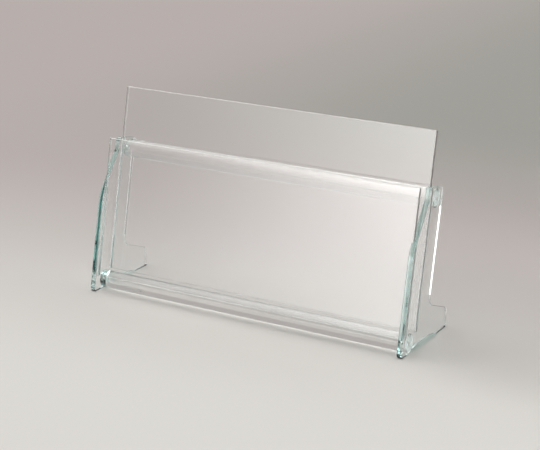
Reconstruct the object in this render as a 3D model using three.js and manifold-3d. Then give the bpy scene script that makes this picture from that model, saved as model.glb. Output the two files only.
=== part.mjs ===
// Landscape brochure stand in clear acrylic with green edges.
// Two side panels carry two round rods, and a front and a back panel drop into
// open-topped grooves in the side panels' inner faces.
// Units are millimetres, +Z is up, +X runs along the width and +Y runs to the rear.

import * as THREE from 'three';
import { mergeVertices } from 'three/addons/utils/BufferGeometryUtils.js';
import Module from 'manifold-3d';

const wasm = await Module();
wasm.setup();

// Driving dimensions of the stand
const LEAN_DEG = 12;                 // how far the pocket leans back from upright
const POCKET_WIDTH = 300;            // clear width between the side panels
const POCKET_DEPTH = 16;             // clear depth between the front and back panels

// Sheet and rod stock
const SIDE_THICKNESS = 5;
const PANEL_THICKNESS = 3;
const ROD_DIAMETER = 16;
const EDGE_BREAK = 0.3;              // polished chamfer on every sawn edge

// Fits
const GROOVE_DEPTH = 2;              // how far a groove is milled into a side panel
const GROOVE_CLEARANCE = 0.3;        // free play of a panel in its groove, on each face
const ROD_CLEARANCE = 0.3;           // from the top rod to the back panel that leans on it
const ROD_END_CLEARANCE = 0.05;      // adhesive film between a rod's end and a side panel
const FLOOR_CLEARANCE = 0.2;         // from the lower rod to the surface the stand is on

// Side panel outline, in the leaning frame: DEPTH is measured square to the lean
// from the panel's front edge, HEIGHT is measured along the lean from the floor
const SIDE_DEPTH = 42.5;
const HEAD_HEIGHT = 139;
const HEAD_FRONT_DEPTH = 18.4;
const HEAD_FRONT_HEIGHT = 128.2;     // where the head's front edge meets the sloping edge
const BOW_HEIGHT = 87.8;             // where the sloping edge would meet the front edge
const BOW_RADIUS = 45;
const HEAD_REAR_RADIUS = 3;
const HEAD_FRONT_RADIUS = 2;
const HEAD_NOTCH_RADIUS = 1.5;

// Side panel feet, in the upright frame
const STAND_DEPTH = 84;              // from the toe's corner to the heel
const TOE_RADIUS = 3;
const HEEL_RADIUS = 2;
const HEEL_HEIGHT = 17.8;
const HEEL_TOP_RADIUS = 3;
const INSTEP_SLOPE_DEG = 21.2;       // fall of the foot's upper edge towards the heel
const INSTEP_RADIUS = 10;
const TOE_LENGTH = 10;
const HEEL_LENGTH = 17;
const ARCH_HEIGHT = 3.8;

// Front and back panels, along the lean
const FRONT_SETBACK = 3.5;           // from the side panels' front edge to the front panel
const FRONT_PANEL_BOTTOM = 15;
const FRONT_PANEL_TOP = 138.4;
const BACK_PANEL_BOTTOM = 20;
const BACK_PANEL_TOP = 184.4;
const PANEL_CORNER_RADIUS = 1;

// Rods
const TOP_ROD_HEIGHT = 129.4;        // centre of the top rod, along the lean
const CENTRE_HOLE_DIAMETER = 2.5;    // blind hole on the axis at each end of a rod
const CENTRE_HOLE_DEPTH = 2.5;       // to the tip of its drilled cone
const CENTRE_CONE_HEIGHT = 0.8;

const CUT_OVERRUN = 5;               // how far a cutter runs out past the head
const ARC_STEPS = 12;
const ROD_SIDES = 64;

// Derived sizes
const lean = THREE.MathUtils.degToRad(LEAN_DEG);
const instepSlope = THREE.MathUtils.degToRad(INSTEP_SLOPE_DEG);
const rodRadius = ROD_DIAMETER / 2;
const frontPanelRear = FRONT_SETBACK + PANEL_THICKNESS;
const backPanelFront = frontPanelRear + POCKET_DEPTH;
const backPanelRear = backPanelFront + PANEL_THICKNESS;
const panelWidth = POCKET_WIDTH + 2 * (GROOVE_DEPTH - GROOVE_CLEARANCE);
const sideCentre = (POCKET_WIDTH + SIDE_THICKNESS) / 2;
const rodLength = POCKET_WIDTH - 2 * ROD_END_CLEARANCE;

// A point of the leaning frame, as depth and height, in upright (y, z)
function leaning(depth, height) {
  return new THREE.Vector2(
    depth * Math.cos(lean) + height * Math.sin(lean),
    height * Math.cos(lean) - depth * Math.sin(lean),
  );
}

// Depth of the stand's foremost point, which is on the toe's rounding
function toeReach() {
  const centre = (TOE_RADIUS * (1 + Math.sin(lean))) / Math.cos(lean);
  return centre - TOE_RADIUS;
}

// Where the foot's upper edge would meet the leaning rear edge
function instepCorner() {
  const rearAtFloor = SIDE_DEPTH / Math.cos(lean);
  const fall = Math.tan(instepSlope);
  const z = (HEEL_HEIGHT + fall * (STAND_DEPTH - rearAtFloor)) / (1 + fall * Math.tan(lean));
  return new THREE.Vector2(rearAtFloor + z * Math.tan(lean), z);
}

// Adds a rounded corner to an outline that is drawn anticlockwise
function roundCorner(shape, before, corner, after, radius) {
  const inward = before.clone().sub(corner).normalize();
  const outward = after.clone().sub(corner).normalize();
  const halfAngle = Math.acos(inward.dot(outward)) / 2;
  const reach = radius / Math.tan(halfAngle);
  const start = corner.clone().addScaledVector(inward, reach);
  const end = corner.clone().addScaledVector(outward, reach);
  const towardsCentre = inward.clone().add(outward).normalize();
  const centre = corner.clone().addScaledVector(towardsCentre, radius / Math.sin(halfAngle));
  const turnsLeft = outward.cross(inward) > 0;
  const startAngle = Math.atan2(start.y - centre.y, start.x - centre.x);
  const endAngle = Math.atan2(end.y - centre.y, end.x - centre.x);
  shape.lineTo(start.x, start.y);
  shape.absarc(centre.x, centre.y, radius, startAngle, endAngle, !turnsLeft);
}

// The shallow arch between toe and heel, from front to rear
function addArch(shape) {
  const front = TOE_LENGTH;
  const rear = STAND_DEPTH - HEEL_LENGTH;
  const halfSpan = (rear - front) / 2;
  const radius = (halfSpan ** 2 + ARCH_HEIGHT ** 2) / (2 * ARCH_HEIGHT);
  const centreZ = ARCH_HEIGHT - radius;
  const halfAngle = Math.asin(halfSpan / radius);
  const up = Math.PI / 2;
  shape.lineTo(front, 0);
  shape.absarc(front + halfSpan, centreZ, radius, up + halfAngle, up - halfAngle, true);
}

// Outline of a side panel in (y, z), anticlockwise from the arch
function sidePanelShape() {
  const corners = [
    { at: new THREE.Vector2(STAND_DEPTH, 0), radius: HEEL_RADIUS },
    { at: new THREE.Vector2(STAND_DEPTH, HEEL_HEIGHT), radius: HEEL_TOP_RADIUS },
    { at: instepCorner(), radius: INSTEP_RADIUS },
    { at: leaning(SIDE_DEPTH, HEAD_HEIGHT), radius: HEAD_REAR_RADIUS },
    { at: leaning(HEAD_FRONT_DEPTH, HEAD_HEIGHT), radius: HEAD_FRONT_RADIUS },
    { at: leaning(HEAD_FRONT_DEPTH, HEAD_FRONT_HEIGHT), radius: HEAD_NOTCH_RADIUS },
    { at: leaning(0, BOW_HEIGHT), radius: BOW_RADIUS },
    { at: new THREE.Vector2(0, 0), radius: TOE_RADIUS },
  ];
  const archFront = new THREE.Vector2(TOE_LENGTH, 0);
  const archRear = new THREE.Vector2(STAND_DEPTH - HEEL_LENGTH, 0);
  const shape = new THREE.Shape();
  shape.moveTo((TOE_LENGTH + TOE_RADIUS) / 2, 0);
  addArch(shape);
  corners.forEach((corner, i) => {
    const before = i > 0 ? corners[i - 1].at : archRear;
    const after = i < corners.length - 1 ? corners[i + 1].at : archFront;
    roundCorner(shape, before, corner.at, after, corner.radius);
  });
  shape.closePath();
  return shape;
}

// A sheet of the given outline with both faces' edges broken, centred in its thickness
function sheetGeometry(shape, thickness) {
  const geometry = new THREE.ExtrudeGeometry(shape, {
    depth: thickness - 2 * EDGE_BREAK,
    curveSegments: ARC_STEPS,
    bevelEnabled: true,
    bevelThickness: EDGE_BREAK,
    bevelSize: EDGE_BREAK,
    bevelOffset: -EDGE_BREAK,
    bevelSegments: 1,
  });
  geometry.translate(0, 0, EDGE_BREAK - thickness / 2);
  return geometry;
}

function toSolid(geometry) {
  const bare = geometry.clone();
  bare.deleteAttribute('normal');
  bare.deleteAttribute('uv');
  const merged = mergeVertices(bare);
  return new wasm.Manifold(new wasm.Mesh({
    numProp: 3,
    vertProperties: new Float32Array(merged.attributes.position.array),
    triVerts: new Uint32Array(merged.index.array),
  }));
}

function fromSolid(solid) {
  const mesh = solid.getMesh();
  const geometry = new THREE.BufferGeometry();
  geometry.setAttribute('position', new THREE.BufferAttribute(mesh.vertProperties, 3));
  geometry.setIndex(new THREE.BufferAttribute(mesh.triVerts, 1));
  geometry.computeVertexNormals();
  return geometry;
}

// Cutter for one groove: as wide as the panel and its play, closed below, open above.
// innerSide is +1 where the side panel's inner face looks to +X, and -1 for the other
function grooveCutter(panelFront, panelBottom, innerSide) {
  const width = PANEL_THICKNESS + 2 * GROOVE_CLEARANCE;
  const bottom = panelBottom - GROOVE_CLEARANCE;
  const length = HEAD_HEIGHT + CUT_OVERRUN - bottom;
  const geometry = new THREE.BoxGeometry(2 * GROOVE_DEPTH, width, length);
  geometry.translate(
    (innerSide * SIDE_THICKNESS) / 2,
    panelFront + PANEL_THICKNESS / 2,
    bottom + length / 2,
  );
  geometry.rotateX(-lean);
  return toSolid(geometry);
}

const clearSheet = { color: 0xdfeeea, roughness: 0.05, metalness: 0, transparent: true };

function sidePanel(name, innerSide) {
  const geometry = sheetGeometry(sidePanelShape(), SIDE_THICKNESS);
  const axisX = new THREE.Vector3(1, 0, 0);
  const axisY = new THREE.Vector3(0, 1, 0);
  const axisZ = new THREE.Vector3(0, 0, 1);
  geometry.applyMatrix4(new THREE.Matrix4().makeBasis(axisY, axisZ, axisX));
  const grooved = toSolid(geometry)
    .subtract(grooveCutter(FRONT_SETBACK, FRONT_PANEL_BOTTOM, innerSide))
    .subtract(grooveCutter(backPanelFront, BACK_PANEL_BOTTOM, innerSide));
  const material = new THREE.MeshStandardMaterial({ ...clearSheet, color: 0x9fd6c8, opacity: 0.5 });
  const mesh = new THREE.Mesh(fromSolid(grooved), material);
  mesh.name = name;
  mesh.position.x = -innerSide * sideCentre;
  return mesh;
}

// A flat panel that stands in the leaning frame
function pocketPanel(name, front, bottom, top) {
  const shape = new THREE.Shape();
  const half = panelWidth / 2;
  const corners = [
    new THREE.Vector2(half, bottom),
    new THREE.Vector2(half, top),
    new THREE.Vector2(-half, top),
    new THREE.Vector2(-half, bottom),
  ];
  shape.moveTo(0, bottom);
  corners.forEach((corner, i) => {
    const before = corners[(i + corners.length - 1) % corners.length];
    const after = corners[(i + 1) % corners.length];
    roundCorner(shape, before, corner, after, PANEL_CORNER_RADIUS);
  });
  shape.closePath();
  const geometry = sheetGeometry(shape, PANEL_THICKNESS);
  geometry.rotateX(Math.PI / 2);
  const mesh = new THREE.Mesh(
    geometry,
    new THREE.MeshStandardMaterial({ ...clearSheet, opacity: 0.35 }),
  );
  mesh.name = name;
  mesh.position.y = front + PANEL_THICKNESS / 2;
  return mesh;
}

// A round rod along X, centred at a depth and height of the leaning frame
function rod(name, depth, height) {
  const half = rodLength / 2;
  const holeRadius = CENTRE_HOLE_DIAMETER / 2;
  const coneTip = half - CENTRE_HOLE_DEPTH;
  const upperEnd = [
    new THREE.Vector2(rodRadius, half - EDGE_BREAK),
    new THREE.Vector2(rodRadius - EDGE_BREAK, half),
    new THREE.Vector2(holeRadius, half),
    new THREE.Vector2(holeRadius, coneTip + CENTRE_CONE_HEIGHT),
    new THREE.Vector2(0, coneTip),
  ];
  const lowerEnd = upperEnd.map((point) => new THREE.Vector2(point.x, -point.y)).reverse();
  const geometry = new THREE.LatheGeometry([...lowerEnd, ...upperEnd], ROD_SIDES);
  geometry.rotateZ(Math.PI / 2);
  const mesh = new THREE.Mesh(
    geometry,
    new THREE.MeshStandardMaterial({ ...clearSheet, opacity: 0.6 }),
  );
  mesh.name = name;
  mesh.position.set(0, depth, height);
  return mesh;
}

const pocket = new THREE.Group();
pocket.rotation.x = -lean;
pocket.add(pocketPanel('front_panel', FRONT_SETBACK, FRONT_PANEL_BOTTOM, FRONT_PANEL_TOP));
pocket.add(pocketPanel('back_panel', backPanelFront, BACK_PANEL_BOTTOM, BACK_PANEL_TOP));
pocket.add(rod('top_rod', backPanelRear + ROD_CLEARANCE + rodRadius, TOP_ROD_HEIGHT));

const bottomRodDepth = frontPanelRear + POCKET_DEPTH / 2;
const bottomRodHeight =
  (FLOOR_CLEARANCE + rodRadius + bottomRodDepth * Math.sin(lean)) / Math.cos(lean);
pocket.add(rod('bottom_rod', bottomRodDepth, bottomRodHeight));

const stand = new THREE.Group();
stand.add(sidePanel('side_panel_left', 1));
stand.add(sidePanel('side_panel_right', -1));
stand.add(pocket);
stand.position.y = -(toeReach() + STAND_DEPTH) / 2;

const brochureStand = new THREE.Group();
brochureStand.add(stand);

export default brochureStand;
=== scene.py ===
"""Looks of the clear acrylic brochure stand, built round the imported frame. Lengths are in metres."""

import logging
import math
from collections.abc import Callable, Sequence
from dataclasses import dataclass
from enum import Enum

import bmesh
import bpy
from mathutils import Matrix, Vector


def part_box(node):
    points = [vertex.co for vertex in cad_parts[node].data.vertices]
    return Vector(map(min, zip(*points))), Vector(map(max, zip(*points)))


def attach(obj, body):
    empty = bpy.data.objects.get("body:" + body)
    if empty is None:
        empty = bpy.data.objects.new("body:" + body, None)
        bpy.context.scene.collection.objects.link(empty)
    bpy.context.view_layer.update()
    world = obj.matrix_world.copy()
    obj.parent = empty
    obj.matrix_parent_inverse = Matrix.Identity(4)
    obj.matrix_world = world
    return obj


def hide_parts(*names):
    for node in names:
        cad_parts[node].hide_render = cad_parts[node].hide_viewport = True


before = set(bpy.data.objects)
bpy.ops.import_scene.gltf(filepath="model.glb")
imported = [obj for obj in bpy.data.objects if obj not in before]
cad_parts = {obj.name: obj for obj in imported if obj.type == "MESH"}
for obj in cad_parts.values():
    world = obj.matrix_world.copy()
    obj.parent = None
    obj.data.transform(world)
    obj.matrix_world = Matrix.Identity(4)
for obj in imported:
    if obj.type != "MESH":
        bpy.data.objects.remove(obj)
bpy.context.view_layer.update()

log = logging.getLogger("brochure_stand")

MM = 0.001
BOX_TOLERANCE = 0.05 * MM
WELD_DISTANCE = 1e-7

Point = tuple[float, float]
Ramp = tuple[float, float]
Axis = tuple[float, float, float]
Colour = tuple[float, float, float]

WHITE: Colour = (1.0, 1.0, 1.0)
BLACK: Colour = (0.0, 0.0, 0.0)
RIGHTWARD: Axis = (1.0, 0.0, 0.0)
REARWARD: Axis = (0.0, 1.0, 0.0)
UPWARD: Axis = (0.0, 0.0, 1.0)


def degrees(start: float, end: float) -> Ramp:
    """A ramp between two angles given in degrees."""
    return math.radians(start), math.radians(end)


class Side(Enum):
    """Which end of the stand a piece is on, as the sign of its x."""

    LEFT = -1
    RIGHT = 1


@dataclass(frozen=True)
class Stand:
    """The stand's driving dimensions, as the frame was built to."""

    lean: float = math.radians(12)
    pocket_width: float = 300 * MM
    pocket_depth: float = 16 * MM
    side_thickness: float = 5 * MM
    panel_thickness: float = 3 * MM
    rod_diameter: float = 16 * MM
    groove_depth: float = 2 * MM
    groove_clearance: float = 0.3 * MM
    rod_clearance: float = 0.3 * MM
    rod_end_clearance: float = 0.05 * MM
    floor_clearance: float = 0.2 * MM
    front_setback: float = 3.5 * MM
    stand_depth: float = 84 * MM
    toe_radius: float = 3 * MM
    top_rod_height: float = 129.4 * MM
    front_panel_bottom: float = 15 * MM
    front_panel_top: float = 138.4 * MM
    back_panel_bottom: float = 20 * MM
    back_panel_top: float = 184.4 * MM

    @property
    def front_panel_rear(self) -> float:
        """Depth of the front panel's rear face."""
        return self.front_setback + self.panel_thickness

    @property
    def back_panel_front(self) -> float:
        """Depth of the back panel's front face."""
        return self.front_panel_rear + self.pocket_depth

    @property
    def rod_radius(self) -> float:
        """Radius of both rods."""
        return self.rod_diameter / 2

    @property
    def panel_width(self) -> float:
        """Width of the front and back panels, with what stands in the grooves."""
        return self.pocket_width + 2 * (self.groove_depth - self.groove_clearance)

    @property
    def shift(self) -> float:
        """How far the outline's own y is moved so that the stand is centred."""
        reach = self.toe_radius * (1 + math.sin(self.lean)) / math.cos(self.lean) - self.toe_radius
        return -(reach + self.stand_depth) / 2

    def upright(self, depth: float, height: float) -> Point:
        """Turns a depth and a height along the lean into the frame's y and z.

        Args:
            depth: distance behind the side panels' front edge, square to the lean.
            height: distance up along the lean.

        Returns:
            The y and z of that point.
        """
        y = depth * math.cos(self.lean) + height * math.sin(self.lean) + self.shift
        z = height * math.cos(self.lean) - depth * math.sin(self.lean)
        return y, z

    def bottom_rod_centre(self) -> Point:
        """Where the bottom rod lies, midway between the panels and just clear of the floor.

        Returns:
            The depth and height of its axis.
        """
        depth = self.front_panel_rear + self.pocket_depth / 2
        rise = self.floor_clearance + self.rod_radius + depth * math.sin(self.lean)
        return depth, rise / math.cos(self.lean)

    def top_rod_centre(self) -> Point:
        """Depth and height of the top rod's axis, behind the back panel."""
        rear = self.back_panel_front + self.panel_thickness
        return rear + self.rod_clearance + self.rod_radius, self.top_rod_height


STAND = Stand()


class Signal:
    """A socket of a node tree that takes part in Python arithmetic."""

    def __init__(self, tree: bpy.types.NodeTree, socket: bpy.types.NodeSocket) -> None:
        """Keeps the tree and the output socket."""
        self.tree = tree
        self.socket = socket

    def maths(self, operation: str, *values: "Signal | float", clamp: bool = False) -> "Signal":
        """Adds a Math node over values.

        Args:
            operation: the Math node's operation.
            values: its inputs, in order.
            clamp: whether the result is kept between 0 and 1.

        Returns:
            The node's result.
        """
        node = self.tree.nodes.new("ShaderNodeMath")
        node.operation = operation
        node.use_clamp = clamp
        for socket, value in zip(node.inputs, values):
            if isinstance(value, Signal):
                self.tree.links.new(value.socket, socket)
            else:
                socket.default_value = value
        return Signal(self.tree, node.outputs[0])

    def __add__(self, other: "Signal | float") -> "Signal":
        """self + other."""
        return self.maths("ADD", self, other)

    def __radd__(self, other: float) -> "Signal":
        """other + self."""
        return self.maths("ADD", other, self)

    def __sub__(self, other: "Signal | float") -> "Signal":
        """self - other."""
        return self.maths("SUBTRACT", self, other)

    def __rsub__(self, other: float) -> "Signal":
        """other - self."""
        return self.maths("SUBTRACT", other, self)

    def __mul__(self, other: "Signal | float") -> "Signal":
        """self * other."""
        return self.maths("MULTIPLY", self, other)

    def __rmul__(self, other: float) -> "Signal":
        """other * self."""
        return self.maths("MULTIPLY", other, self)

    def __neg__(self) -> "Signal":
        """Minus self."""
        return self * -1.0

    def __abs__(self) -> "Signal":
        """self without its sign."""
        return self.maths("ABSOLUTE", self)

    def __lt__(self, other: "Signal | float") -> "Signal":
        """1 where self is below other."""
        return self.maths("LESS_THAN", self, other)

    def __gt__(self, other: "Signal | float") -> "Signal":
        """1 where self is above other."""
        return self.maths("GREATER_THAN", self, other)

    def at_least(self, other: "Signal | float") -> "Signal":
        """The greater of self and other."""
        return self.maths("MAXIMUM", self, other)

    def eased(self, start: float, end: float) -> "Signal":
        """A smooth step over self.

        Args:
            start: where the step is 0.
            end: where it is 1, above or below start.

        Returns:
            The step, from 0 to 1.
        """
        share = self.maths("MULTIPLY", self - start, 1 / (end - start), clamp=True)
        return share * share * (3.0 - 2.0 * share)

    def between(self, first: Ramp, second: Ramp) -> "Signal":
        """The product of two smooth steps over self."""
        return self.eased(*first) * self.eased(*second)


class Wiring:
    """Builds the nodes of one material or world."""

    def __init__(self, tree: bpy.types.NodeTree) -> None:
        """Empties the tree."""
        self.tree = tree
        tree.nodes.clear()

    def node(
        self, kind: str, settings: dict | None = None, output: int | str = 0, **values: object,
    ) -> Signal:
        """Adds a node of any kind.

        Args:
            kind: the node's type.
            settings: its properties, which are set first.
            output: which of its outputs is returned.
            values: a number, colour or Signal for each input, with _ for a space in its name.

        Returns:
            The chosen output.
        """
        made = self.tree.nodes.new(kind)
        for name, value in (settings or {}).items():
            setattr(made, name, value)
        for name, value in values.items():
            key = int(name[1:]) if name[0] == "i" and name[1:].isdigit() else name.replace("_", " ")
            self.feed(made.inputs[key], value)
        outputs = made.outputs
        return Signal(self.tree, outputs[output] if len(outputs) else None)

    def feed(self, socket: bpy.types.NodeSocket, value: object) -> None:
        """Sets or links one input.

        Args:
            socket: the input.
            value: a Signal to link, or a number, vector or colour to set.
        """
        if isinstance(value, Signal):
            self.tree.links.new(value.socket, socket)
        elif hasattr(value, "__len__") and len(value) == 3 and socket.type == "RGBA":
            socket.default_value = (*value, 1.0)
        else:
            socket.default_value = value

    def blend(self, share: Signal, first: Signal | Colour, second: Signal | Colour) -> Signal:
        """Mixes two colours.

        Args:
            share: 0 gives the first and 1 the second.
            first: one colour.
            second: the other.

        Returns:
            The mixed colour.
        """
        return self.node("ShaderNodeMix", {"data_type": "RGBA"}, output=2, i0=share, i6=first, i7=second)

    def outputs(self, kind: str, **values: object) -> dict[str, Signal]:
        """Adds a node and gives every output by name."""
        first = self.node(kind, **values)
        return {output.name: Signal(self.tree, output) for output in first.socket.node.outputs}

    def axes(self, vector: Signal) -> tuple[Signal, Signal, Signal]:
        """The x, y and z of a vector."""
        parts = self.outputs("ShaderNodeSeparateXYZ", Vector=vector)
        return parts["X"], parts["Y"], parts["Z"]

    def place(self) -> Signal:
        """A point of the surface, in the piece's own rest frame."""
        return self.node("ShaderNodeTexCoord", output="Object")

    def facing(self, axis: Axis) -> Signal:
        """How squarely the surface faces along an axis.

        Args:
            axis: a direction in the frame, of length 1.

        Returns:
            1 where it faces straight along it, and -1 where it faces the other way.
        """
        normal = self.node("ShaderNodeTexCoord", output="Normal")
        product = {"operation": "DOT_PRODUCT"}
        return self.node("ShaderNodeVectorMath", product, output="Value", i0=normal, i1=axis)


@dataclass(frozen=True)
class ClearAcrylic:
    """Clear acrylic, tinted through its depth, with slow waves and fine handling marks."""

    name: str
    depth_of_tint: float
    haze: float = 0.0
    edge_roughness: float = 0.02
    tint: Colour = (0.10, 0.74, 0.69)
    index: float = 1.491
    handling: float = 0.004
    mark_scale: float = 60.0
    mark_detail: float = 4.0
    mark_reach: Ramp = (0.35, 0.75)
    least_wear: float = 0.6
    wear_spread: float = 0.8
    wave_size: float = 45 * MM
    wave_height: float = 0.0025 * MM
    wave_detail: float = 1.0
    edge_facing: float = 0.5
    joint_depth: float = 0.08 * MM
    joint_rim: float = 0.25 * MM
    joint_hole: float = 1.3 * MM

    def material(self) -> bpy.types.Material:
        """Makes the material.

        Returns:
            A new material with a surface and an absorbing inside.
        """
        made = bpy.data.materials.new(self.name)
        made.use_nodes = True
        wiring = Wiring(made.node_tree)
        inside = wiring.node("ShaderNodeVolumeAbsorption", Color=self.tint, Density=self.depth_of_tint)
        surface = self.surface(wiring, wiring.place())
        wiring.node("ShaderNodeOutputMaterial", Surface=surface, Volume=inside)
        return made

    def surface(self, wiring: Wiring, place: Signal) -> Signal:
        """The surface's shader, which each stock makes in its own way."""
        raise NotImplementedError

    def polished(
        self, wiring: Wiring, place: Signal, roughness: Signal, colour: Signal | Colour = WHITE,
        metal: Signal | float = 0.0,
    ) -> Signal:
        """A clear shader with the slow waves of the stock.

        Args:
            wiring: the material's nodes.
            place: a point of the surface.
            roughness: how dull the surface is.
            colour: what the light that passes through is multiplied by.
            metal: how much of the surface reflects and lets nothing through.

        Returns:
            The shader.
        """
        scale = 1 / self.wave_size
        swell = wiring.node("ShaderNodeTexNoise", Vector=place, Scale=scale, Detail=self.wave_detail)
        return wiring.node(
            "ShaderNodeBsdfPrincipled",
            Base_Color=colour,
            Metallic=metal,
            Roughness=roughness,
            IOR=self.index,
            Transmission_Weight=1.0,
            Normal=wiring.node("ShaderNodeBump", Distance=self.wave_height, Strength=1.0, Height=swell),
        )

    def dulled(self, wiring: Wiring, place: Signal, edge: Signal) -> Signal:
        """Puts fine handling marks on the faces and a duller polish on the edges.

        Args:
            wiring: the material's nodes.
            place: a point of the surface.
            edge: 1 on the sawn edges.

        Returns:
            The roughness.
        """
        scale = self.mark_scale
        marks = wiring.node("ShaderNodeTexNoise", Vector=place, Scale=scale, Detail=self.mark_detail)
        polish = self.edge_roughness * edge * (self.least_wear + self.wear_spread * marks)
        return self.haze + self.handling * marks.eased(*self.mark_reach) + polish

    def cemented(self, wiring: Wiring, place: Signal, shader: Signal) -> Signal:
        """Lets light straight across where cement joins a rod's end to a side panel.

        Args:
            wiring: the material's nodes.
            place: a point of the surface.
            shader: the shader elsewhere.

        Returns:
            The shader with its joints.
        """
        x, y, z = wiring.axes(place)
        face = abs(abs(x) - STAND.pocket_width / 2) < self.joint_depth
        outer = (STAND.rod_radius - self.joint_rim) ** 2
        rings = []
        for centre in (STAND.top_rod_centre(), STAND.bottom_rod_centre()):
            across, up = STAND.upright(*centre)
            reach = (y - across) * (y - across) + (z - up) * (z - up)
            rings.append((reach < outer) * (reach > self.joint_hole**2))
        joint = face * (rings[0] + rings[1])
        cement = wiring.node("ShaderNodeBsdfTransparent")
        return wiring.node("ShaderNodeMixShader", i0=joint, i1=shader, i2=cement)


@dataclass(frozen=True)
class SideStock(ClearAcrylic):
    """Thick sheet whose sawn edges show blue-green, with milled grooves and soles painted dark as contact
    shade.
    """

    name: str = "clear_side_sheet"
    depth_of_tint: float = 5.0
    edge_tint: Colour = (0.75, 0.95, 0.93)
    core_tint: Colour = (0.006, 0.11, 0.10)
    core_reach: Ramp = (1.3 * MM, 0.5 * MM)
    core_rise: Ramp = (11 * MM, 18 * MM)
    core_fall: Ramp = (116 * MM, 88 * MM)
    core_slant: Ramp = (0.09, 0.17)
    core_blend: float = 0.5
    painted_sole_shade: Colour = (0.01, 0.012, 0.012)
    sole_roughness: float = 0.5
    sole_facing: float = 0.9
    sole_height: float = 0.2 * MM
    sole_curve_facing: float = 0.5
    sole_curve_height: float = 1.6 * MM
    sole_curve_start: float = 39.3 * MM
    groove_roughness: float = 0.45
    groove_slack: float = 0.1 * MM
    groove_foot: float = 14 * MM

    def surface(self, wiring: Wiring, place: Signal) -> Signal:
        """The shader of a side panel.

        Args:
            wiring: the material's nodes.
            place: a point of the surface.

        Returns:
            The shader.
        """
        edge = abs(wiring.facing(RIGHTWARD)) < self.edge_facing
        groove = self.groove(wiring, place) * edge
        sole = self.sole(wiring, place)
        sawn = wiring.blend(self.core(wiring, place), self.edge_tint, self.core_tint)
        clear = wiring.blend(edge - groove, WHITE, sawn)
        dull = self.dulled(wiring, place, edge) + self.groove_roughness * groove + self.sole_roughness * sole
        # The soles take painted contact shade: a near-black colour, made metal so that nothing shows
        # through.
        shader = self.polished(wiring, place, dull, wiring.blend(sole, clear, self.painted_sole_shade), sole)
        return self.cemented(wiring, place, shader)

    def core(self, wiring: Wiring, place: Signal) -> Signal:
        """The dark line along the middle of the front edge, above the toe.

        Args:
            wiring: the material's nodes.
            place: a point of the surface.

        Returns:
            1 on the line, where it's seen aslant.
        """
        x, _, z = wiring.axes(place)
        through = abs(abs(x) - (STAND.pocket_width + STAND.side_thickness) / 2)
        ahead = wiring.facing(REARWARD) < -self.edge_facing
        slant = wiring.node("ShaderNodeLayerWeight", output="Facing", Blend=self.core_blend)
        lengthwise = z.between(self.core_rise, self.core_fall)
        return through.eased(*self.core_reach) * ahead * lengthwise * slant.eased(*self.core_slant)

    def sole(self, wiring: Wiring, place: Signal) -> Signal:
        """The flats that a side panel stands on, and the curves that lead into them, which take painted
        contact shade.

        Args:
            wiring: the material's nodes.
            place: a point of the surface.

        Returns:
            1 on the flats and curves.
        """
        _, y, z = wiring.axes(place)
        level = abs(wiring.facing(UPWARD))
        flat = (level > self.sole_facing) * (z < self.sole_height)
        low = (level > self.sole_curve_facing) * (z < self.sole_curve_height)
        return flat.at_least(low * (abs(y) > self.sole_curve_start))

    def groove(self, wiring: Wiring, place: Signal) -> Signal:
        """The walls and floors of the grooves milled into the inner face.

        Args:
            wiring: the material's nodes.
            place: a point of the surface.

        Returns:
            1 in both grooves.
        """
        x, y, z = wiring.axes(place)
        depth = (y - STAND.shift) * math.cos(STAND.lean) - z * math.sin(STAND.lean)
        height = (y - STAND.shift) * math.sin(STAND.lean) + z * math.cos(STAND.lean)
        inner = STAND.pocket_width / 2 - self.groove_slack
        outer = STAND.pocket_width / 2 + STAND.groove_depth + self.groove_slack
        cut = (abs(x) > inner) * (abs(x) < outer)
        middle = STAND.panel_thickness / 2
        half = middle + STAND.groove_clearance + self.groove_slack
        first = abs(depth - (STAND.front_setback + middle)) < half
        second = abs(depth - (STAND.back_panel_front + middle)) < half
        return cut * (first + second) * (height > self.groove_foot)


@dataclass(frozen=True)
class PocketStock(ClearAcrylic):
    """Thin sheet with matt sawn edges that look white from above."""

    name: str = "clear_pocket_sheet"
    depth_of_tint: float = 1.0
    edge_roughness: float = 0.6
    crest_shine: float = 0.25
    crest_facing: float = 0.6

    def surface(self, wiring: Wiring, place: Signal) -> Signal:
        """The shader of a front or back panel.

        Args:
            wiring: the material's nodes.
            place: a point of the surface.

        Returns:
            The shader.
        """
        leaning = (0.0, math.cos(STAND.lean), -math.sin(STAND.lean))
        edge = abs(wiring.facing(leaning)) < self.edge_facing
        crest = abs(wiring.facing(UPWARD)) > self.crest_facing
        dull = self.dulled(wiring, place, edge)
        return self.polished(wiring, place, dull, metal=self.crest_shine * crest)


@dataclass(frozen=True)
class RodStock(ClearAcrylic):
    """Drawn rod, hazier than sheet, cemented at both ends."""

    name: str = "clear_rod"
    depth_of_tint: float = 0.4
    haze: float = 0.13

    def surface(self, wiring: Wiring, place: Signal) -> Signal:
        """The shader of a cross rod."""
        end = abs(wiring.facing(RIGHTWARD)) > self.edge_facing
        return self.cemented(wiring, place, self.polished(wiring, place, self.dulled(wiring, place, end)))


@dataclass(frozen=True)
class Corner:
    """A corner of an outline, and the radius that rounds it."""

    across: float
    up: float
    radius: float

    @property
    def at(self) -> Vector:
        """The corner as a 2-D vector."""
        return Vector((self.across, self.up))


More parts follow.
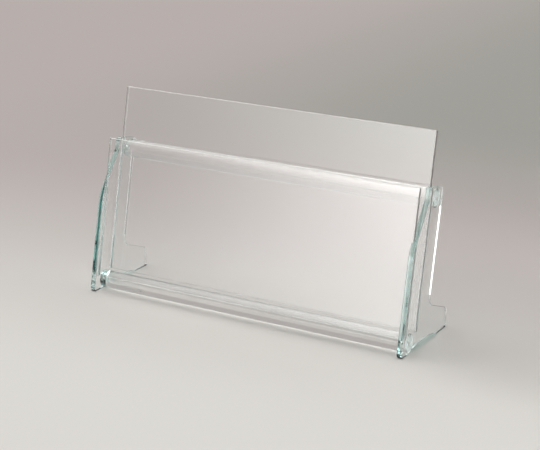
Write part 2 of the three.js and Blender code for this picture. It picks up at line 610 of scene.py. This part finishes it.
class Outline:
    """A closed anticlockwise line of straight runs and arcs."""

    ARC_STEP = math.radians(3)
    LEAST_MITRE = 0.5

    def __init__(self) -> None:
        """Starts with no points."""
        self.points: list[Vector] = []

    def arc(self, centre: Vector, radius: float, start: float, turn: float) -> None:
        """Adds an arc.

        Args:
            centre: its centre.
            radius: its radius.
            start: the angle of its first point.
            turn: how far it turns, anticlockwise if positive.
        """
        steps = max(2, math.ceil(abs(turn) / self.ARC_STEP))
        for i in range(steps + 1):
            angle = start + turn * i / steps
            self.points.append(centre + radius * Vector((math.cos(angle), math.sin(angle))))

    def rounded(self, before: Vector, corner: Corner, after: Vector) -> None:
        """Adds a rounded corner.

        Args:
            before: a point on the run that leads to it.
            corner: the corner.
            after: a point on the run that leaves it.
        """
        back = (before - corner.at).normalized()
        ahead = (after - corner.at).normalized()
        half = back.angle(ahead) / 2
        start = corner.at + back * (corner.radius / math.tan(half))
        centre = corner.at + (back + ahead).normalized() * (corner.radius / math.sin(half))
        left = ahead.x * back.y - ahead.y * back.x > 0
        turn = (math.pi - 2 * half) * (1 if left else -1)
        spoke = start - centre
        self.arc(centre, corner.radius, math.atan2(spoke.y, spoke.x), turn)

    def loop(self, corners: Sequence[Corner]) -> None:
        """Adds a whole loop of rounded corners."""
        for i, corner in enumerate(corners):
            self.rounded(corners[i - 1].at, corner, corners[(i + 1) % len(corners)].at)

    def outward(self) -> list[Vector]:
        """How far each point moves for an offset of 1, mitred where the line bends.

        Returns:
            A move for each point.
        """
        count = len(self.points)
        moves = []
        for i, point in enumerate(self.points):
            arriving = (point - self.points[i - 1]).normalized()
            leaving = (self.points[(i + 1) % count] - point).normalized()
            first = Vector((arriving.y, -arriving.x))
            second = Vector((leaving.y, -leaving.x))
            middle = (first + second).normalized()
            moves.append(middle / max(middle.dot(first), self.LEAST_MITRE))
        return moves


def bands(rings: int, count: int) -> list[Sequence[int]]:
    """The four-sided faces between rings of points.

    Args:
        rings: how many rings there are.
        count: how many points each ring has.

    Returns:
        The indices of each face's points.
    """
    faces = []
    for ring in range(rings - 1):
        first = ring * count
        for i in range(count):
            j = (i + 1) % count
            faces.append((first + i, first + j, first + count + j, first + count + i))
    return faces


def easing(radius: float, steps: int) -> list[Point]:
    """A rounded edge between two faces that meet squarely.

    Args:
        radius: its radius.
        steps: how many flats stand for the curve.

    Returns:
        How far each point lies below the first face and inside the second.
    """
    angles = [math.pi / 2 * i / steps for i in range(steps + 1)]
    return [(radius * (1 - math.cos(angle)), radius * (1 - math.sin(angle))) for angle in angles]


def closed_mesh(
    name: str, points: Sequence[Vector], faces: Sequence[Sequence[int]],
) -> bpy.types.Object:
    """Makes an object, welded and with its faces pointing out.

    Args:
        name: the object's name.
        points: its points.
        faces: the indices of each face's points.

    Returns:
        The new object.
    """
    mesh = bpy.data.meshes.new(name)
    mesh.from_pydata([tuple(point) for point in points], [], [list(face) for face in faces])
    shaping = bmesh.new()
    shaping.from_mesh(mesh)
    bmesh.ops.remove_doubles(shaping, verts=shaping.verts, dist=WELD_DISTANCE)
    bmesh.ops.recalc_face_normals(shaping, faces=shaping.faces)
    shaping.to_mesh(mesh)
    shaping.free()
    made = bpy.data.objects.new(name, mesh)
    bpy.context.scene.collection.objects.link(made)
    return made


def settle(made: bpy.types.Object) -> None:
    """Makes what an object's modifiers show its own mesh.

    Args:
        made: the object.
    """
    shaped = made.evaluated_get(bpy.context.evaluated_depsgraph_get())
    settled = bpy.data.meshes.new_from_object(shaped)
    made.modifiers.clear()
    made.data = settled


@dataclass(frozen=True)
class Piece:
    """An object's name, the CAD node that it stands for, that node's body and its material slot, which is
    not used.
    """

    name: str
    node: str
    body: str
    slot: str
    sharp: float = math.radians(40)
    flat_weight: int = 100

    def dress(self, made: bpy.types.Object, material: bpy.types.Material) -> bpy.types.Object:
        """Gives the object its finish and ties it to the frame.

        Args:
            made: the object.
            material: its finish.

        Returns:
            The same object.
        """
        made.data.materials.clear()
        made.data.materials.append(material)
        made.data.shade_smooth()
        made.data.set_sharp_from_angle(angle=self.sharp)
        flat = made.modifiers.new("flat_faces", "WEIGHTED_NORMAL")
        flat.mode = "FACE_AREA"
        flat.weight = self.flat_weight
        flat.keep_sharp = True
        settle(made)
        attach(made, self.body)
        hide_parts(self.node)
        self.compare(made)
        return made

    def compare(self, made: bpy.types.Object) -> None:
        """Logs how far the object's box is from its CAD node's.

        Args:
            made: the object.
        """
        low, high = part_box(self.node)
        gaps = []
        for axis in range(3):
            places = [vertex.co[axis] for vertex in made.data.vertices]
            gaps += [abs(min(places) - low[axis]), abs(max(places) - high[axis])]
        apart = max(gaps)
        level = logging.INFO if apart <= BOX_TOLERANCE else logging.WARNING
        log.log(level, "%s: %d faces, box within %.3f mm", self.name, len(made.data.polygons), apart / MM)


@dataclass(frozen=True)
class Sheet:
    """Flat stock with its sawn edges eased and polished."""

    thickness: float
    arris: float = 0.5 * MM
    arris_steps: int = 4

    def rings(self) -> list[Point]:
        """The rings of points that the sheet is made of, from one face to the other.

        Returns:
            Each ring's place through the thickness and its inset.
        """
        half = self.thickness / 2
        rings = [(half - down, inset) for down, inset in easing(self.arris, self.arris_steps)]
        return rings + [(-through, inset) for through, inset in reversed(rings)]

    def mesh(
        self, name: str, outline: Outline, place: Callable[[float, Vector], Vector],
    ) -> bpy.types.Object:
        """Makes the sheet.

        Args:
            name: the object's name.
            outline: the sheet's outline.
            place: turns a place through the thickness and an outline point into the frame's.

        Returns:
            The new object.
        """
        rings = self.rings()
        moves = outline.outward()
        count = len(outline.points)
        points = []
        for through, inset in rings:
            points += [place(through, at - move * inset) for at, move in zip(outline.points, moves)]
        ends = [range(count), range((len(rings) - 1) * count, len(rings) * count)]
        return closed_mesh(name, points, ends + bands(len(rings), count))


@dataclass(frozen=True)
class SidePanel:
    """A profiled side panel with a head, a bowed front edge and a footed, arched base."""

    side: Side
    depth: float = 42.5 * MM
    head_height: float = 139 * MM
    head_front_depth: float = 18.4 * MM
    head_front_height: float = 128.2 * MM
    bow_height: float = 87.8 * MM
    bow_radius: float = 45 * MM
    head_rear_radius: float = 3 * MM
    head_front_radius: float = 2 * MM
    head_notch_radius: float = 1.5 * MM
    heel_radius: float = 2 * MM
    heel_height: float = 17.8 * MM
    heel_top_radius: float = 3 * MM
    instep_slope: float = math.radians(21.2)
    instep_radius: float = 10 * MM
    toe_length: float = 10 * MM
    heel_length: float = 17 * MM
    arch_height: float = 3.8 * MM
    overrun: float = 5 * MM

    @property
    def centre(self) -> float:
        """x of the panel's middle plane."""
        return self.side.value * (STAND.pocket_width + STAND.side_thickness) / 2

    def corner(self, depth: float, height: float, radius: float) -> Corner:
        """A corner given in the leaning frame."""
        y, z = STAND.upright(depth, height)
        return Corner(y, z, radius)

    def instep(self) -> Corner:
        """Where the foot's upper edge meets the leaning rear edge.

        Returns:
            The corner there.
        """
        rear_at_floor = self.depth / math.cos(STAND.lean)
        fall = math.tan(self.instep_slope)
        z = self.heel_height + fall * (STAND.stand_depth - rear_at_floor)
        z /= 1 + fall * math.tan(STAND.lean)
        return Corner(rear_at_floor + z * math.tan(STAND.lean) + STAND.shift, z, self.instep_radius)

    def outline(self) -> Outline:
        """The panel's outline, from the arch underneath round by the heel, the head and the toe.

        Returns:
            The outline in y and z.
        """
        heel = STAND.stand_depth + STAND.shift
        arch_front = self.toe_length + STAND.shift
        arch_rear = heel - self.heel_length
        corners = [
            Corner(heel, 0, self.heel_radius),
            Corner(heel, self.heel_height, self.heel_top_radius),
            self.instep(),
            self.corner(self.depth, self.head_height, self.head_rear_radius),
            self.corner(self.head_front_depth, self.head_height, self.head_front_radius),
            self.corner(self.head_front_depth, self.head_front_height, self.head_notch_radius),
            self.corner(0, self.bow_height, self.bow_radius),
            Corner(STAND.shift, 0, STAND.toe_radius),
        ]
        half_span = (arch_rear - arch_front) / 2
        radius = (half_span**2 + self.arch_height**2) / (2 * self.arch_height)
        half_angle = math.asin(half_span / radius)
        made = Outline()
        centre = Vector((arch_front + half_span, self.arch_height - radius))
        made.arc(centre, radius, math.pi / 2 + half_angle, -2 * half_angle)
        for i, corner in enumerate(corners):
            before = corners[i - 1].at if i else Vector((arch_rear, 0))
            after = corners[i + 1].at if i < len(corners) - 1 else Vector((arch_front, 0))
            made.rounded(before, corner, after)
        return made

    def groove_cutter(self, panel_front: float, panel_bottom: float) -> bpy.types.Object:
        """A block that mills one groove.

        Args:
            panel_front: depth of the front face of the panel that stands in it.
            panel_bottom: height of that panel's lower edge.

        Returns:
            The block, which is deleted once it has cut.
        """
        inner = self.centre - self.side.value * STAND.side_thickness / 2
        low = panel_bottom - STAND.groove_clearance
        high = self.head_height + self.overrun
        front = panel_front - STAND.groove_clearance
        rear = panel_front + STAND.panel_thickness + STAND.groove_clearance
        points = []
        for x in (inner - STAND.groove_depth, inner + STAND.groove_depth):
            for depth, height in ((front, low), (rear, low), (rear, high), (front, high)):
                points.append(Vector((x, *STAND.upright(depth, height))))
        faces = [(0, 1, 2, 3), (4, 5, 6, 7), (0, 1, 5, 4), (1, 2, 6, 5), (2, 3, 7, 6), (3, 0, 4, 7)]
        return closed_mesh("cutter", points, faces)

    def mill(self, made: bpy.types.Object) -> None:
        """Cuts both grooves into the inner face.

        Args:
            made: the panel.
        """
        cutters = [
            self.groove_cutter(STAND.front_setback, STAND.front_panel_bottom),
            self.groove_cutter(STAND.back_panel_front, STAND.back_panel_bottom),
        ]
        for cutter in cutters:
            cut = made.modifiers.new("groove", "BOOLEAN")
            cut.operation = "DIFFERENCE"
            cut.solver = "EXACT"
            cut.object = cutter
        settle(made)
        for cutter in cutters:
            bpy.data.objects.remove(cutter)

    def build(self, material: bpy.types.Material) -> bpy.types.Object:
        """Makes and dresses the panel.

        Args:
            material: its finish.

        Returns:
            The new object.
        """
        word = self.side.name.lower()

        def place(through: float, at: Vector) -> Vector:
            """A point of the upright sheet."""
            return Vector((self.centre + through, at.x, at.y))

        piece = Piece(f"side_sheet_{word}", f"side_panel_{word}", "frame", "side_sheet")
        made = Sheet(STAND.side_thickness).mesh(piece.name, self.outline(), place)
        self.mill(made)
        return piece.dress(made, material)


@dataclass(frozen=True)
class PocketPanel:
    """A flat panel that stands in the grooves and leans with them."""

    node: str
    front: float
    bottom: float
    top: float
    corner_radius: float = 1 * MM

    def build(self, material: bpy.types.Material) -> bpy.types.Object:
        """Makes and dresses the panel.

        Args:
            material: its finish.

        Returns:
            The new object.
        """
        middle = self.front + STAND.panel_thickness / 2

        def place(through: float, at: Vector) -> Vector:
            """A point of the leaning sheet."""
            return Vector((at.x, *STAND.upright(middle + through, at.y)))

        half = STAND.panel_width / 2
        radius = self.corner_radius
        outline = Outline()
        outline.loop([
            Corner(half, self.bottom, radius),
            Corner(half, self.top, radius),
            Corner(-half, self.top, radius),
            Corner(-half, self.bottom, radius),
        ])
        piece = Piece(f"{self.node}_sheet", self.node, self.node, "panel_sheet")
        made = Sheet(STAND.panel_thickness).mesh(piece.name, outline, place)
        return piece.dress(made, material)


@dataclass(frozen=True)
class Rod:
    """A round rod across the stand, with a centre hole in each end."""

    node: str
    centre: Point
    sides: int = 180
    arris: float = 0.3 * MM
    arris_steps: int = 3
    hole_radius: float = 1.25 * MM
    hole_depth: float = 2.5 * MM
    cone_height: float = 0.8 * MM

    def profile(self) -> list[Point]:
        """The rod's half section, from the tip of one end's hole to the tip of the other's.

        Returns:
            Each point's place along the rod and its radius.
        """
        half = STAND.pocket_width / 2 - STAND.rod_end_clearance
        cone_tip = half - self.hole_depth
        end = [(cone_tip, 0.0), (cone_tip + self.cone_height, self.hole_radius), (half, self.hole_radius)]
        for down, inset in easing(self.arris, self.arris_steps):
            end.append((half - down, STAND.rod_radius - inset))
        return end + [(-along, radius) for along, radius in reversed(end)]

    def build(self, material: bpy.types.Material) -> bpy.types.Object:
        """Makes and dresses the rod.

        Args:
            material: its finish.

        Returns:
            The new object.
        """
        y, z = STAND.upright(*self.centre)
        profile = self.profile()
        points = []
        for along, radius in profile:
            for i in range(self.sides):
                angle = 2 * math.pi * i / self.sides
                points.append(Vector((along, y + radius * math.cos(angle), z + radius * math.sin(angle))))
        piece = Piece(f"{self.node}_clear", self.node, "frame", "rod")
        made = closed_mesh(piece.name, points, bands(len(profile), self.sides))
        return piece.dress(made, material)


@dataclass(frozen=True)
class Camera:
    """The photograph's view, found by fitting a camera to measured edges."""

    azimuth: float = math.radians(30.828)
    pitch: float = math.radians(18.021)
    focal_pixels: float = 1624.68
    frame_width: float = 540
    sensor: float = 36.0
    aim: tuple[float, float, float] = (7.157 * MM, 0.0, 77.264 * MM)
    distance: float = 1384.83 * MM

    def build(self) -> bpy.types.Object:
        """Makes the camera and gives it to the scene.

        Returns:
            The camera.
        """
        data = bpy.data.cameras.new("camera")
        data.sensor_width = self.sensor
        data.lens = self.focal_pixels / self.frame_width * self.sensor
        made = bpy.data.objects.new("camera", data)
        ahead = Vector((
            -math.sin(self.azimuth) * math.cos(self.pitch),
            math.cos(self.azimuth) * math.cos(self.pitch),
            -math.sin(self.pitch),
        ))
        turn = ahead.to_track_quat("-Z", "Y").to_matrix().to_4x4()
        made.matrix_world = Matrix.Translation(Vector(self.aim) - ahead * self.distance) @ turn
        bpy.context.scene.collection.objects.link(made)
        bpy.context.scene.camera = made
        return made


@dataclass(frozen=True)
class Studio:
    """A pale sweep, lit by a dim room, a low softbox in front, a key on the left and two lights above.

    The overhead light spans the top of the sky, and the canopy is a band of it at the rear. A light's
    ramps run from where it's dark to where it's full, over elevation or over azimuth. Azimuth is 0 straight
    in front of the stand and grows towards its left.
    """

    floor_size: float = 12.0
    floor_drop: float = 0.05 * MM
    # The sweep's tones are painted light falloff: lighter in front, darker towards the rear and the far
    # rear.
    front_tone: Colour = (0.655, 0.648, 0.625)
    rear_tone: Colour = (0.443, 0.402, 0.395)
    falloff: Ramp = (-0.25, 0.40)
    falloff_slant: float = 0.17
    far_tone: Colour = (0.328, 0.327, 0.306)
    far_depth: Ramp = (0.2, 0.7)
    far_across: Ramp = (-0.75, -0.10)
    # Painted shade on the sweep: a soft patch behind the stand's right end, and a darker strip beneath the
    # pocket.
    shade: float = 0.11
    shade_across: Ramp = (-0.10, 0.12)
    shade_front: Ramp = (-0.09, -0.01)
    shade_rear: Ramp = (0.30, 0.08)
    under_shade: float = 0.20
    under_shade_across: Ramp = (158 * MM, 146 * MM)
    under_shade_front: Ramp = (-25 * MM, -21 * MM)
    under_shade_rear: Ramp = (0.0, -12 * MM)
    room: float = 0.29
    room_lift: float = 0.03
    room_front: Ramp = (0.3, -0.6)
    softbox: float = 4.5
    softbox_left: Ramp = degrees(36, 19.5)
    softbox_right: Ramp = degrees(-28, -12)
    softbox_top: Ramp = degrees(19, 11.5)
    softbox_foot: Ramp = degrees(-0.5, 0.3)
    softbox_base: float = 0.58
    softbox_gain: float = 0.95
    softbox_rise: Ramp = degrees(1, 11)
    overhead: float = 0.85
    overhead_rim: Ramp = degrees(44, 70)
    key: float = 2.7
    key_left: Ramp = degrees(130, 108)
    key_right: Ramp = degrees(50, 74)
    key_top: Ramp = degrees(80, 66)
    key_rise: Ramp = degrees(20, 36)
    canopy: float = 1.2
    canopy_rim: Ramp = degrees(30, 40)
    canopy_top: Ramp = degrees(60, 50)
    canopy_front: Ramp = (0.05, 0.3)
    lamp: Colour = (1.0, 0.985, 0.965)
    background: Colour = (0.43, 0.40, 0.385)
    bounces: int = 32
    diffuse_bounces: int = 3

    def floor(self) -> None:
        """Lays the sweep, painted darker towards the rear as light falloff, with painted shade behind the
        stand's right end and beneath the pocket.
        """
        mesh = bpy.data.meshes.new("floor")
        half = self.floor_size / 2
        z = -self.floor_drop
        corners = [(-half, -half, z), (half, -half, z), (half, half, z), (-half, half, z)]
        mesh.from_pydata(corners, [], [(0, 1, 2, 3)])
        made = bpy.data.objects.new("floor", mesh)
        bpy.context.scene.collection.objects.link(made)
        material = bpy.data.materials.new("sweep")
        material.use_nodes = True
        wiring = Wiring(material.node_tree)
        x, y, _ = wiring.axes(wiring.place())
        # Painted light falloff: the tone darkens towards the rear, slanted across the sweep.
        far = y.eased(*self.far_depth) * x.eased(*self.far_across)
        rear = wiring.blend(far, self.rear_tone, self.far_tone)
        receding = y - self.falloff_slant * x
        open_tone = wiring.blend(receding.eased(*self.falloff), self.front_tone, rear)
        # Painted shade over the open tone, behind the stand's right end and beneath the pocket.
        shade = x.eased(*self.shade_across) * y.between(self.shade_front, self.shade_rear)
        under_shade = abs(x).eased(*self.under_shade_across) * y.between(self.under_shade_front, self.under_shade_rear)
        tone = wiring.blend(self.shade * shade + self.under_shade * under_shade, open_tone, BLACK)
        surface = wiring.node("ShaderNodeBsdfDiffuse", Color=tone)
        wiring.node("ShaderNodeOutputMaterial", Surface=surface)
        mesh.materials.append(material)

    def light(self) -> None:
        """Lights the sky with every lamp, and shows a plain backdrop where the sky itself is seen."""
        world = bpy.data.worlds.new("studio")
        bpy.context.scene.world = world
        world.use_nodes = True
        wiring = Wiring(world.node_tree)
        x, y, z = wiring.axes(wiring.node("ShaderNodeTexCoord", output="Generated"))
        azimuth = x.maths("ARCTAN2", -x, -y)
        elevation = z.maths("ARCSINE", z)
        room = self.room + self.room_lift * y.eased(*self.room_front)
        softbox = azimuth.between(self.softbox_left, self.softbox_right)
        softbox = softbox * elevation.between(self.softbox_top, self.softbox_foot)
        softbox = softbox * (self.softbox_base + self.softbox_gain * elevation.eased(*self.softbox_rise))
        canopy = elevation.between(self.canopy_rim, self.canopy_top) * y.eased(*self.canopy_front)
        overhead = elevation.eased(*self.overhead_rim)
        key = azimuth.between(self.key_left, self.key_right)
        key = key * elevation.between(self.key_top, self.key_rise)
        level = room + self.softbox * softbox + self.overhead * overhead
        level = level + self.canopy * canopy + self.key * key
        path = wiring.outputs("ShaderNodeLightPath")
        bounces = path["Glossy Depth"] + path["Diffuse Depth"]
        through = path["Is Transmission Ray"] * (bounces < 1.0)
        seen = path["Is Camera Ray"].at_least(through)
        light = wiring.node("ShaderNodeBackground", Color=self.lamp, Strength=level)
        backdrop = wiring.node("ShaderNodeBackground", Color=self.background, Strength=1.0)
        mixed = wiring.node("ShaderNodeMixShader", i0=seen, i1=light, i2=backdrop)
        wiring.node("ShaderNodeOutputWorld", Surface=mixed)

    def build(self) -> None:
        """Sets up the floor, the light, the light's paths and the way colours are shown."""
        self.floor()
        self.light()
        paths = bpy.context.scene.cycles
        paths.max_bounces = self.bounces
        paths.glossy_bounces = self.bounces
        paths.transmission_bounces = self.bounces
        paths.diffuse_bounces = self.diffuse_bounces
        paths.blur_glossy = 0.0
        bpy.context.scene.view_settings.view_transform = "Standard"


def main() -> None:
    """Builds the studio and then the stand, piece by piece."""
    logging.basicConfig(level=logging.INFO, format="%(name)s: %(message)s")
    Camera().build()
    Studio().build()
    side_stock = SideStock().material()
    pocket_stock = PocketStock().material()
    rod_stock = RodStock().material()
    for side in Side:
        SidePanel(side).build(side_stock)
    front = PocketPanel("front_panel", STAND.front_setback, STAND.front_panel_bottom, STAND.front_panel_top)
    front.build(pocket_stock)
    back = PocketPanel("back_panel", STAND.back_panel_front, STAND.back_panel_bottom, STAND.back_panel_top)
    back.build(pocket_stock)
    Rod("top_rod", STAND.top_rod_centre()).build(rod_stock)
    Rod("bottom_rod", STAND.bottom_rod_centre()).build(rod_stock)


if __name__ == "__main__":
    main()
